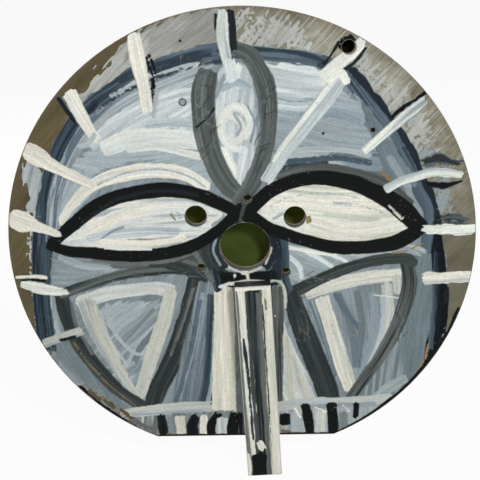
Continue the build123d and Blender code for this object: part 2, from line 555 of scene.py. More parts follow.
def fleckPaint(sheet, tone, size, level, amount, seed):
    # grit and pinholes in the dried paint
    noise = latticeNoise(sheet["x"] / size, sheet["z"] / size, seed)
    loose = latticeNoise(sheet["x"] / 31, sheet["z"] / 31, seed + 1)
    share = (amount * fade(level, level + 0.05, noise * (0.86 + 0.14 * loose)))[..., None]
    sheet["colour"] = sheet["colour"] * (1 - share) + paints[tone] * share


# Face coat: what is painted, bottom layer first
faceCoat = dict(
    front=12.0,
    cell=0.7,
    film=0.10,
    rimGap=0.7,
    holeGap=0.35,
    speck=9,
    disc=(-3.6, 0.0, 245.0),
    flat=-224.0,
    holes=[(0, 0, 26.5), (-50.6, 34.2, 11.3), (52.4, 31.6, 11.3), (105.8, 204.0, 7.2), (-59.4, 153.2, 3.7)],
    boltHoles=(52.0, 86.0, 3, 4.5),
    pricks=[(131.2, 121.3, 2.5), (81.1, 118.8, 1.2), (-59.4, 213.3, 1.2)],
)
ringLine = [
    (-219, -112), (-219, -60), (-215, -10), (-209, 30), (-202, 60), (-190, 95), (-172, 128), (-150, 150),
    (-125, 167), (-98, 181), (-70, 190), (-45, 197), (-20, 201), (0, 201), (40, 197), (60, 195), (80, 189),
    (103, 178), (118, 160), (134, 138), (150, 118), (161, 100), (172, 80), (182, 60), (190, 40), (196, 20),
    (200, 0), (204, -20), (207, -50), (207, -80), (205, -100), (201, -120), (200, -133),
]
groundLayer = [
    field(("washGrey", "washPale", "smoke"), 35, (-22, 242), (-24, 205), (-60, 188), (-96, 180),
        (-97, 212), (-92, 226), (-60, 236), ragged=5, body=0.05, run=26, gauge=7, spread=0.9),
    field(("washPale", "haze", "washGrey"), 48, (-92, 222), (-96, 180), (-128, 162), (-152, 145),
        (-172, 130), (-160, 160), (-140, 190), (-122, 206), (-108, 217), ragged=8, body=0.05, run=26,
        gauge=7, spread=0.9),
    field(("washPale", "haze"), 48, (-2, 238), (0, 208), (45, 204), (70, 198), (60, 222), (30, 236),
        ragged=7, body=0.05, dry=0.46),
    field(("washPale", "haze"), 48, (108, 196), (122, 168), (150, 132), (172, 98), (196, 100), (186, 128),
        (160, 160), (132, 186), ragged=7, body=0.05, dry=0.5),
    field(("washGrey", "fieldBlue"), 70, (176, 96), (196, 50), (204, 20), (216, 24), (212, 60), (200, 96),
        ragged=6, body=0.05, dry=0.48),
    field(("fieldBlue", "lowField", "streakBlue"), 62, (-227, -106), (-228, -60), (-223, -10), (-217, 30),
        (-210, 62), (-197, 99), (-178, 134), (-154, 156), (-129, 173), (-101, 188), (-72, 198),
        (-46, 204), (-20, 208), (0, 208), (41, 204), (62, 202), (84, 196), (108, 184), (124, 166),
        (141, 143), (157, 122), (168, 104), (180, 82), (190, 62), (198, 40), (204, 20), (208, 0),
        (212, -20), (215, -50), (215, -80), (213, -104), (212, -122), (214, -134), (190, -160),
        (172, -182), (150, -202), (116, -226), (0, -230), (-116, -226), (-150, -202), (-186, -168),
        (-208, -140), (-223, -118), ragged=1.5, gauge=5),
    field(("rightField", "midBlue", "fieldBlue"), 84, (168, -20), (198, -10), (203, -60), (202, -130),
        (176, -168), (140, -196), (112, -190), (150, -130), (170, -80), ragged=2, gauge=4),
    field(("lowField", "rightField", "fieldBlue"), 118, (-208, -100), (-190, -90), (-172, -130),
        (-140, -175), (-118, -192), (-150, -206), (-186, -168), (-206, -138), ragged=2, gauge=5),
    stroke("iceBlue", 9, (-207, -48), (-207, -75), (-203, -102), second="lowField", mix=0.3, endDry=0.25),
    stroke("fieldBlue", 12, (133, -188), (150, -172), (172, -156), second="oldCream", mix=0.3, dry=0.1),
]
ringLayer = [
    field(("iceBlue", "haze", "fieldBlue"), 70, (-227, 88), (-208, 98), (-202, 62), (-210, 38),
        (-223, 44), (-226, 70), ragged=6, body=0.12, run=40),
    stroke("haze", 5, (-223, 38), (-228, 0), (-230, -40), (-228, -100), dry=0.44, wobble=1.5),
    stroke("slate", 21, *ringLine[:13], second="deepBlue", mix=0.4, contrast=2.0, ragged=5, streak=0.8,
        wobble=1.8),
    stroke("streakBlue", 13, (-198, 20), (-190, 60), (-176, 96), (-152, 134), (-120, 154), (-90, 168),
        (-60, 178), (-30, 186), second="slate", mix=0.4, dry=0.34, pick=0.6, wobble=2),
    stroke("navy", 17, (-212, 24), (-217, -10), (-220, -60), (-219, -108), second="slateDark", mix=0.3,
        contrast=1.6, endDry=0.3, ragged=5),
    stroke("slate", 13, *ringLine[12:18], second="deepBlue", mix=0.5, contrast=1.8, streak=0.6),
    stroke("slate", 16, *ringLine[16:24], second="deepBlue", mix=0.4, contrast=2.0, streak=0.6),
    stroke("deepBlue", 15, *ringLine[21:27], second="slate", mix=0.3, contrast=1.5, startDry=0.3),
    stroke("blackNavy", 15, *ringLine[25:], second="navy", mix=0.3, ragged=3, startDry=0.25),
    stroke("blackNavy", 8, (212, -50), (213, -90), (209, -118), dry=0.25, endDry=0.3),
    stroke("navy", 5, (201, -10), (201, -60), (200, -120), second="slate", mix=0.3),
    stroke("iceBlue", 5.0, (-203, 40), (-190, 82), (-166, 124), (-140, 149), dry=0.42, second="slate",
        mix=0.3),
    stroke("streakBlue", 2.4, (-209, 10), (-205, 40), (-196, 70), (-180, 104), dry=0.34),
    stroke("iceBlue", 6, (-130, 160), (-100, 176), (-70, 186), (-44, 193), dry=0.42),
    stroke("navy", 8, (-214, 8), (-210, 34), (-206, 64), (-192, 98), (-172, 130), (-146, 154), dry=0.2,
        second="slate", mix=0.3),
    stroke("deepBlue", 4.0, (-120, 174), (-92, 187), (-60, 195), (-30, 199), dry=0.2),
    stroke("deepBlue", 4.5, (6, 205), (40, 202), (66, 197), (92, 186), dry=0.15),
    stroke("iceBlue", 4.0, (4, 192), (40, 188), (70, 181), dry=0.28, second="slate", mix=0.4),
    stroke("fieldBlue", 3.0, (112, 158), (132, 132), (150, 108), (164, 82), dry=0.3),
    stroke("navy", 7, (108, 182), (124, 166), (142, 143), (158, 121), (172, 97), (184, 72), (194, 48),
        (201, 22), dry=0.16, wobble=1.4, second="soft", mix=0.4),
    stroke("deepBlue", 5, (-86, 184), (-60, 192), (-40, 196), dry=0.12),
]
foreheadLayer = [
    field(("iceBlue", "blueWhite", "paleBlue"), 28, (-166, 112), (-150, 134), (-120, 154), (-90, 170),
        (-60, 182), (-38, 188), (-30, 160), (-30, 120), (-60, 124), (-110, 126), (-146, 112), ragged=4,
        bend=-1.2, run=90),
    stroke("blueWhite", 15, (-150, 108), (-120, 136), (-90, 152), (-55, 168), (-34, 176),
        second="paleBlue", mix=0.4, contrast=1.5, dry=0.12),
    stroke("blueWhite", 13, (-144, 122), (-108, 144), (-70, 158), (-38, 164), second="iceBlue", mix=0.4,
        contrast=1.2, dry=0.22, pick=0.4),
    field(("iceBlue", "paleBlue", "fieldBlue"), 4, (-196, 78), (-170, 98), (-140, 108), (-100, 110),
        (-60, 104), (-26, 100), (-22, 78), (-40, 70), (-80, 92), (-120, 92), (-160, 78), (-186, 56),
        ragged=3, bend=-2.2, run=90),
    stroke("milk", 18, (-140, 108), (-118, 116), (-95, 119), (-70, 117), (-44, 113), second="blueWhite",
        mix=0.3, dry=0.06, endDry=0.1, body=0.3),
    stroke("blueWhite", 9, (-96, 132), (-70, 134), (-36, 130), second="paleBlue", mix=0.4, dry=0.15),
    stroke("milk", 8, (-116, 106), (-84, 108), (-40, 96), (-24, 88), dry=0.24, second="iceBlue", mix=0.4),
    field(("paleBlue", "iceBlue", "streakBlue"), 62, (-197, 30), (-188, 64), (-176, 82), (-160, 84),
        (-150, 66), (-172, 44), (-190, 18), ragged=3, run=60),
    stroke("cream", 15, (-192, 30, 8), (-178, 50, 10), (-158, 68, 13), (-128, 80, 15), (-95, 84, 16),
        (-62, 80, 14), (-38, 66, 12), second="blueWhite", mix=0.22, dry=0.03, endDry=0.12, body=0.34,
        contrast=1.4),
    stroke("paleBlue", 2, (-150, 70), (-120, 82), (-86, 85), (-58, 78), (-40, 66), dry=0.42),
    field(("blueWhite", "iceBlue", "milk"), -10, (6, 190), (40, 189), (74, 184), (98, 172), (92, 156),
        (60, 152), (34, 150), (26, 166), ragged=3, bend=-1.5),
    field(("paleBlue", "fieldBlue", "iceBlue"), -12, (28, 154), (60, 152), (92, 160), (112, 152),
        (128, 134), (138, 112), (132, 98), (80, 92), (46, 88), (26, 108), ragged=3, bend=-1.0, run=60),
    stroke("blueWhite", 9, (30, 150), (56, 146), (86, 149), dry=0.2, second="paleBlue", mix=0.4),
    stroke("streakBlue", 10, (60, 136), (90, 140), (118, 132), dry=0.2),
    field(("streakBlue", "slate", "iceBlue"), -4, (24, 106), (60, 100), (110, 100), (150, 96), (158, 80),
        (146, 68), (118, 82), (80, 86), (46, 80), (28, 84), ragged=5, run=42),
    stroke("iceBlue", 6, (42, 99), (70, 103), (104, 101), (130, 95), dry=0.26),
    stroke("slateDark", 6, (34, 90), (64, 92), (100, 93), (130, 88), dry=0.34),
    stroke("deepBlue", 5, (30, 83), (56, 86), (84, 88), dry=0.38),
    field(("rightField", "midBlue", "slate"), -62, (118, 150), (134, 132), (152, 108), (166, 84),
        (180, 58), (190, 34), (184, 22), (170, 44), (152, 66), (136, 96), ragged=3, run=60),
    stroke("fieldBlue", 8, (150, 92), (168, 62), (184, 30), dry=0.2),
    stroke("tan", 4, (140, 78), (150, 70), dry=0.35),
    stroke("slate", 12, (-200, 24), (-192, 62), (-174, 102), (-150, 132), (-118, 154), (-86, 169),
        (-56, 180), (-30, 188), second="iceBlue", mix=0.3, contrast=1.9, pick=0.4, dry=0.2, wobble=2,
        streak=0.6),
    stroke("slateDark", 12, (189, -6), (191, 32), (178, 60), second="slate", mix=0.4, dry=0.16, ragged=4),
]
cheekLayer = [
    field(("lowField", "fieldBlue", "smoke"), -8, (-199, -2), (-150, -12), (-96, -14), (-50, -6),
        (-34, 8), (-36, -26), (-80, -24), (-120, -24), (-160, -36), (-197, -46), (-203, -20), ragged=3,
        run=60),
    stroke("iceBlue", 8, (-196, -8), (-172, -18), (-140, -24), dry=0.3, second="fieldBlue", mix=0.4),
    stroke("fieldBlue", 10, (-204, -34), (-180, -34), (-152, -28), dry=0.25),
    stroke("smoke", 8, (-140, -17), (-100, -21), (-62, -19), (-40, -14), dry=0.2, second="charcoal",
        mix=0.3),
    field(("fieldBlue", "iceBlue", "paleBlue"), -22, (34, -2), (60, 2), (96, -8), (140, -8), (176, 0),
        (192, -6), (180, -14), (130, -14), (90, -26), (60, -40), (42, -44), (30, -30), ragged=3, run=40),
    stroke("blueWhite", 5, (42, -8), (56, -22), (60, -36), dry=0.24),
    stroke("blueWhite", 5, (60, -4), (78, -14), (92, -24), dry=0.22),
    stroke("blueWhite", 4, (90, -10), (104, -17), (112, -22), dry=0.26),
    stroke("milk", 4, (46, -2), (70, -7), (94, -10), dry=0.3),
    # left cheek
    field(("fieldBlue", "rightField", "iceBlue"), 42, (-182, -52), (-130, -48), (-86, -50), (-92, -90),
        (-112, -150), (-124, -178), (-150, -150), (-176, -100), ragged=2, run=40),
    field(("iceBlue", "fieldBlue", "paleBlue"), 40, (-150, -62), (-100, -60), (-92, -66), (-124, -96),
        (-140, -96), (-158, -74), ragged=3, run=36),
    stroke("rightField", 9, (-100, -70), (-118, -90), (-134, -106), dry=0.15, second="iceBlue", mix=0.3),
    stroke("rightField", 8, (-96, -90), (-114, -112), (-124, -130), dry=0.18),
    stroke("iceBlue", 4, (-150, -62), (-146, -90), (-132, -112), (-118, -122), (-108, -112), dry=0.32),
    stroke("iceBlue", 3.5, (-158, -70), (-150, -102), (-132, -136), dry=0.3),
    stroke("oldCream", 15, (-178, -60), (-152, -51), (-124, -47), (-96, -45), (-80, -48),
        second="blueWhite", mix=0.3, dry=0.10, startDry=0.15),
    stroke("oldCream", 14, (-80, -50, 14), (-90, -84, 15), (-104, -122, 16), (-118, -164, 14),
        (-124, -176, 11), second="creamGrey", mix=0.4, dry=0.03),
    stroke("oldCream", 13, (-171, -62, 20), (-163, -92, 20), (-151, -120, 17), (-138, -148, 12),
        (-124, -172, 7), second="fieldBlue", mix=0.15, dry=0.26),
    stroke("creamGrey", 6, (-166, -66), (-160, -96), (-148, -124), (-134, -146), dry=0.2),
    stroke("charcoal", 17, (-198, -50, 15), (-193, -80, 17), (-182, -110, 17), (-164, -140, 16),
        (-144, -165, 15), (-118, -186, 14), second="graphite", mix=0.35, contrast=1.5, dry=0.08,
        streak=0.5),
    stroke("smoke", 3, (-188, -60), (-184, -88), (-170, -120), dry=0.3),
    stroke("wood", 2.2, (-192, -100), (-176, -130), (-152, -160), (-126, -184), dry=0.45),
    stroke("charcoal", 11, (-198, -50), (-172, -41), (-140, -31), (-110, -26), (-80, -24), (-46, -27),
        second="smoke", mix=0.25, contrast=1.4, dry=0.06),
    stroke("charcoal", 22, (-50, -34, 22), (-62, -75, 21), (-80, -125, 22), (-100, -165, 21),
        (-107, -184, 18), second="graphite", mix=0.22, contrast=1.5, ragged=3, streak=0.5),
    stroke("smoke", 3, (-56, -46), (-68, -84), (-84, -124), dry=0.34),
    # strips between the left cheek and the nose
    stroke("midBlue", 26, (-42, -40, 16), (-52, -90, 22), (-62, -140, 27), (-70, -182, 30),
        second="fieldBlue", mix=0.2, contrast=1.5, square=3),
    stroke("streakBlue", 5, (-46, -52), (-58, -110), (-76, -176), dry=0.2),
    stroke("slate", 5, (-50, -60), (-62, -120), (-80, -180), dry=0.25),
    stroke("deepBlue", 9, (-37, -56), (-41, -110), (-47, -160), (-53, -186), second="slate", mix=0.2,
        dry=0.03),
    stroke("paleBlue", 3, (-34, -76), (-38, -130), (-42, -180), dry=0.3),
    stroke("black", 3, (-36, -148), (-41, -184), dry=0.08),
    stroke("cream", 22, (-24, -47, 20), (-24, -90, 22), (-26, -140, 25), (-27, -196, 27),
        second="creamGrey", mix=0.25, square=1.6, ragged=1, wobble=0.6, body=0.3),
    # right of the nose
    field(("oldCream", "blueWhite", "fieldBlue"), -72, (36, -80), (39, -120), (38, -182), (80, -182),
        (66, -150), (50, -112), ragged=1.5, run=60),
    stroke("creamGrey", 7, (42, -104), (46, -150), (50, -182), dry=0.1),
    stroke("creamGrey", 5, (50, -128), (60, -160), (68, -182), dry=0.18),
    stroke("smoke", 13, (33, -48, 17), (34, -90, 11), (35, -140, 9), (35, -182, 8), second="charcoal",
        mix=0.4, contrast=1.5, square=3),
    # right cheek
    field(("fieldBlue", "lowField", "streakBlue"), -78, (64, -56), (110, -40), (168, -34), (168, -70),
        (150, -120), (122, -168), (106, -176), (90, -120), ragged=2, run=44),
    stroke("oldCream", 12, (150, -46), (152, -84), (140, -130), (122, -166), second="fieldBlue", mix=0.3,
        dry=0.1),
    stroke("midBlue", 9, (98, -56), (112, -90), (120, -140), dry=0.16),
    stroke("slate", 5, (96, -54), (106, -74), (122, -96), dry=0.2),
    stroke("midBlue", 7, (118, -52), (124, -90), (122, -130), dry=0.2),
    stroke("streakBlue", 8, (136, -56), (138, -96), (128, -140), dry=0.1),
    stroke("iceBlue", 5, (146, -60), (146, -96), (134, -138), dry=0.2),
    stroke("slate", 7, (70, -62), (82, -98), (98, -150), second="paleBlue", mix=0.3),
    stroke("cream", 15, (81, -60, 15), (92, -95, 16), (104, -138, 17), (113, -168, 14), second="oldCream",
        mix=0.5, body=0.3, square=3, ragged=1.5),
    stroke("oldCream", 15, (66, -56, 10), (100, -43, 14), (130, -37, 15), (162, -34, 13), second="cream",
        mix=0.4, dry=0.08),
    stroke("oldCream", 9, (160, -36), (162, -54), dry=0.3),
    stroke("milk", 2, (138, -57), (152, -59), (168, -62), dry=0.12),
    stroke("charcoal", 13, (171, -22, 15), (174, -46, 16), (168, -76, 16), (157, -106, 15),
        (141, -136, 14), (124, -162, 13), (112, -184, 12), second="smoke", mix=0.35, contrast=1.6,
        dry=0.04),
    stroke("graphite", 13, (46, -54, 14), (80, -37, 12), (112, -24, 12), (142, -17, 13), (168, -16, 13),
        (178, -22, 12), second="charcoal", mix=0.4, contrast=1.5, dry=0.04),
    stroke("charcoal", 22, (48, -54, 18), (56, -82, 22), (69, -118, 25), (82, -152, 25), (91, -183, 24),
        second="graphite", mix=0.12, contrast=1.5, ragged=3, streak=0.4),
]
bridgeLayer = [
    field(("graphite", "charcoal", "smoke"), -20, (-64, 0), (-42, 20), (-28, 16), (-28, -18), (-44, -38),
        (-58, -34), (-76, -24), (-104, -22), (-96, -13), ragged=4, soft=1.4, run=30),
    stroke("charcoal", 16, (-20, 34), (-36, 16), (-39, -6), (-30, -28), (-14, -38), second="graphite",
        mix=0.4),
    stroke("graphite", 12, (-34, 20), (-48, 6), (-66, -8), (-96, -14), second="charcoal", mix=0.4,
        dry=0.06),
    stroke("navy", 15, (20, 36), (33, 18), (37, -4), (35, -24), (28, -40), second="charcoal", mix=0.4),
    stroke("slateDark", 8, (40, 14), (43, -10), (42, -34), (46, -50), second="soft", mix=0.3),
    stroke("charcoal", 10, (-8, 31), (-22, 23), (-31, 8), (-31, -8), (-22, -23), second="soft", mix=0.4),
    stroke("soft", 10, (10, 30), (23, 21), (31, 6), (31, -8), (22, -23), second="navy", mix=0.5),
    stroke("streakBlue", 3, (-30, 12), (-33, -4), (-27, -20), dry=0.25),
    stroke("streakBlue", 2.5, (-25, 20), (-31, 10), dry=0.2),
    stroke("black", 15, (-30, -34), (0, -36), (30, -34), second="soft", mix=0.2),
    stroke("navy", 8, (-34, -26), (-30, -48), second="midBlue", mix=0.3),
    stroke("smoke", 6, (-54, -4), (-44, -22), (-36, -38), dry=0.2),
    stroke("blueWhite", 3, (-28, -44), (-16, -40), dry=0.18),
    stroke("cream", 5, (-3, -29), (3, -30), dry=0.05),
    stroke("cream", 3.5, (1, -27), (3, -38), dry=0.1),
    stroke("milk", 3, (-12, -32), (-11, -34)),
    stroke("cream", 4, (-16, -41), (4, -39), (20, -40), dry=0.1),
    stroke("oldCream", 2.6, (24, -40), (32, -39), (39, -43), (42, -56), (42, -70), body=0.3, dry=0.1),
    stroke("creamGrey", 2.5, (-18, -23), (0, -29), (18, -23), dry=0.2),
    stroke("creamGrey", 2.5, (22, -18), (28, -2), dry=0.25),
]
almondLayer = [
    field(("iceBlue", "blueWhite", "paleBlue"), 82, (-8, 190), (6, 186), (12, 160), (14, 130), (12, 104),
        (2, 76), (-8, 60), (-18, 84), (-26, 116), (-26, 160), (-20, 184), ragged=2, run=50),
    stroke("paleBlue", 7, (-20, 166), (-4, 172), (8, 166), dry=0.12),
    stroke("fieldBlue", 5, (-26, 158), (-18, 176), (-8, 186), dry=0.15),
    stroke("milk", 8, (2, 118), (8, 130), (3, 143), (-9, 147), (-19, 138), (-21, 122), (-14, 108),
        (-2, 104), body=0.5, second="blueWhite", mix=0.3),
    stroke("cream", 7, (-14, 140), (-4, 134), (0, 122), (-7, 112), (-14, 116), body=0.5,
        second="blueWhite", mix=0.4),
    stroke("paleBlue", 3, (-8, 140), (-2, 128), (-6, 118), dry=0.15),
    stroke("streakBlue", 2.4, (6, 148), (12, 132), (8, 112), dry=0.2),
    stroke("milk", 9, (-20, 104), (-14, 90), (-8, 74), (-6, 60), dry=0.1, body=0.35),
    stroke("blueWhite", 7, (2, 104), (-2, 88), (-6, 70), dry=0.18),
    stroke("milk", 6, (-14, 184), (-8, 176), (-2, 188), dry=0.2),
    stroke("graphite", 23, (-33, 183, 19), (-38, 166, 23), (-39, 150, 24), (-38, 130, 24), (-34, 106, 23),
        (-27, 86, 22), (-16, 67, 21), (-4, 56, 18), (4, 50, 14), second="smoke", mix=0.2, contrast=1.3,
        pick=0.14, square=5, ragged=1.2, streak=0.5, body=0.14),
    stroke("graphite", 18, (-6, 206, 12), (8, 198, 17), (18, 182, 19), (24, 166, 20), (26, 148, 19),
        (26, 130, 17), (24, 110, 17), (18, 90, 18), (9, 70, 18), (0, 56, 17), (-8, 44, 14),
        second="smoke", mix=0.2, contrast=1.3, pick=0.14, square=2, ragged=3, streak=0.5, body=0.14),
    stroke("smoke", 2.2, (-46, 150), (-30, 140), dry=0.3),
    stroke("smoke", 1.8, (-48, 138), (-28, 128), dry=0.25),
    stroke("black", 2.2, (-46, 128), (-34, 138), (-28, 146), dry=0.25),
]
eyeLayer = [
    field(("cream", "blueWhite", "iceBlue"), 3, (-196, 6), (-170, 30), (-140, 50), (-110, 57), (-80, 59),
        (-50, 54), (-26, 44), (-8, 35), (-24, 18), (-48, 6), (-74, 0), (-110, -3), (-150, 0), ragged=0.5,
        bend=0.8, body=0.28, spread=1.4),
    stroke("cream", 14, (-160, 22), (-130, 36), (-96, 43), (-64, 44), (-40, 39), second="blueWhite",
        mix=0.25, contrast=1.4, body=0.34),
    stroke("blueWhite", 8, (-164, 12), (-134, 18), (-100, 20), (-70, 18), second="paleBlue", mix=0.45,
        dry=0.1),
    stroke("streakBlue", 3, (-150, 12), (-138, 20), (-126, 24), dry=0.2),
    stroke("streakBlue", 2.4, (-134, 8), (-110, 10), (-84, 8), dry=0.22),
    stroke("cream", 7, (-150, 8), (-118, 6), (-86, 7), (-64, 12), dry=0.06),
    stroke("fieldBlue", 3, (-44, 50), (-30, 41), (-22, 34), (-34, 24), dry=0.14),
    stroke("milk", 3, (-38, 44), (-24, 36), (-40, 26), dry=0.1),
    stroke("tan", 1.6, (-76, 38), (-72, 31), dry=0.3),
    stroke("tan", 1.4, (-70, 40), (-67, 32), dry=0.34),
    field(("cream", "milk", "creamGrey"), -4, (4, 38), (26, 54), (50, 63), (80, 66), (110, 62), (140, 50),
        (164, 32), (178, 20), (160, 8), (120, 3), (90, 5), (56, 12), (26, 24), ragged=0.5, bend=-0.8,
        body=0.28, spread=1.4),
    stroke("cream", 13, (74, 24), (100, 16), (130, 16), (150, 20), body=0.36, second="oldCream", mix=0.3),
    stroke("paleBlue", 1.8, (26, 44), (50, 54), (86, 57), (118, 51), dry=0.46),
    stroke("iceBlue", 3, (92, 46), (122, 42), (146, 34), dry=0.46),
    stroke("iceBlue", 3, (30, 30), (40, 36), dry=0.24),
    stroke("creamGrey", 5, (84, 34), (112, 30), (140, 28), dry=0.2),
    stroke("ochre", 5, (66, 32), (67, 26), dry=0.2),
    # outlines
    stroke("graphite", 9, (36, 76), (60, 82), (84, 83), (110, 79), (134, 72), (152, 62), (172, 44),
        second="smoke", mix=0.3, dry=0.12),
    stroke("smoke", 6, (-160, -10), (-120, -15), (-80, -13), (-54, -4), dry=0.3),
    stroke("black", 13, (-204, 5, 11), (-184, -2, 12), (-160, -4, 13), (-130, -7, 14), (-100, -7, 14),
        (-70, -3, 14), (-45, 7, 13), (-25, 21, 12), (-12, 34, 11), (-4, 44, 9), body=0.3, square=1.2,
        wobble=0.6),
    stroke("black", 15, (-202, 8, 12), (-180, 27, 14), (-150, 49, 15), (-120, 59, 15), (-85, 63, 16),
        (-55, 60, 15), (-30, 50, 14), (-10, 39, 13), (6, 30, 10), body=0.32, square=1.2, wobble=0.6),
    stroke("black", 15, (-8, 32, 10), (5, 41, 15), (25, 58, 15), (45, 68, 15), (70, 73, 15), (95, 71, 16),
        (120, 64, 17), (145, 51, 19), (165, 36, 21), (181, 20, 18), body=0.32, square=1.2, wobble=0.6),
    stroke("black", 14, (2, 38, 14), (22, 22, 14), (45, 12, 13), (70, 4, 14), (95, -2, 15), (120, -3, 15),
        (150, 0, 16), (170, 8, 17), (184, 18, 14), body=0.3, square=1.2, wobble=0.6),
    stroke("graphite", 4, (-4, 28), (-1, 42), (4, 55), dry=0.16),
    stroke("soft", 4, (-170, 30), (-130, 54), (-86, 63), (-48, 57), dry=0.3),
    stroke("milk", 1.6, (-148, 1), (-124, -0.5), (-98, -1), dry=0.25, body=0.3),
    stroke("creamGrey", 4, (150, 42), (164, 28), dry=0.56),
    stroke("oldCream", 2.0, (110, -11), (124, -12), dry=0.4),
    stroke("ochre", 2.6, (156, -10), (168, -8), (186, 0), dry=0.45),
]
mouthLayer = [
    field(("fieldBlue", "smoke", "creamGrey"), 88, (-136, -190), (-136, -212), (-112, -226), (-6, -226),
        (-6, -196), (-60, -192), ragged=1.5, run=40),
    stroke("smoke", 6, (-128, -204), (-110, -214), (-100, -204), dry=0.25),
    stroke("oldCream", 13, (-141, -194, 10), (-110, -191, 13), (-76, -188, 13), (-42, -187, 13),
        second="iceBlue", mix=0.35, dry=0.06, square=3, ragged=3),
    stroke("paleBlue", 3, (-130, -196), (-90, -194), (-50, -192), dry=0.25),
    field(("fieldBlue", "iceBlue", "creamGrey"), 90, (34, -188), (34, -226), (104, -226), (134, -206),
        (150, -186), (110, -184), (70, -184), ragged=1.5, run=40),
    stroke("iceBlue", 12, (35, -188), (70, -184), (104, -184), (136, -182), (156, -180),
        second="oldCream", mix=0.4, dry=0.14, square=3, ragged=3),
    stroke("fieldBlue", 5, (60, -189), (100, -188), (140, -187), dry=0.25),
    stroke("black", 11, (-98, -199), (-95, -222), second="soft", mix=0.2, square=2, ragged=3, dry=0.1),
    stroke("lowField", 7, (-88, -200), (-87, -223), square=3),
    stroke("cream", 11, (-77, -200), (-76, -223), square=3, second="creamGrey", mix=0.4),
    stroke("black", 12, (-60, -199, 10), (-63, -210, 13), (-63, -224, 14), square=3, second="navy",
        mix=0.15),
    stroke("cream", 8, (-50, -200), (-51, -222), square=3),
    stroke("black", 10, (-34, -197), (-42, -210), (-42, -224), square=2, dry=0.14, ragged=3),
    stroke("iceBlue", 13, (-29, -203), (-29, -223), square=3, second="milk", mix=0.4),
    stroke("black", 12, (-15, -198), (-18, -212), (-19, -224), square=2, dry=0.2, ragged=3),
    stroke("soft", 5, (-9, -196), (-9, -223), square=3, dry=0.1),
    stroke("black", 12, (41, -199), (41, -210), square=3, ragged=1),
    stroke("iceBlue", 14, (54, -198), (54, -223), square=3, second="fieldBlue", mix=0.3),
    stroke("black", 9, (64, -188, 10), (67, -204, 12), (69, -221, 10), square=2, ragged=2),
    stroke("cream", 12, (81, -196), (80, -223), square=3, second="iceBlue", mix=0.4),
    stroke("black", 9, (93, -188, 12), (94, -204, 12), (97, -221, 14), square=2, ragged=2),
    stroke("lowField", 10, (106, -198), (106, -220), square=3),
    stroke("black", 7, (120, -187), (120, -202), square=2, ragged=2),
    stroke("milk", 3, (52, -190), (58, -202), dry=0.4),
    stroke("milk", 3, (74, -190), (86, -196), dry=0.45),
    stroke("milk", 3, (104, -188), (112, -196), dry=0.45),
    stroke("tan", 4, (38, -219), (46, -220), dry=0.3),
    stroke("wood", 3, (-92, -222), (-70, -222), dry=0.3),
]
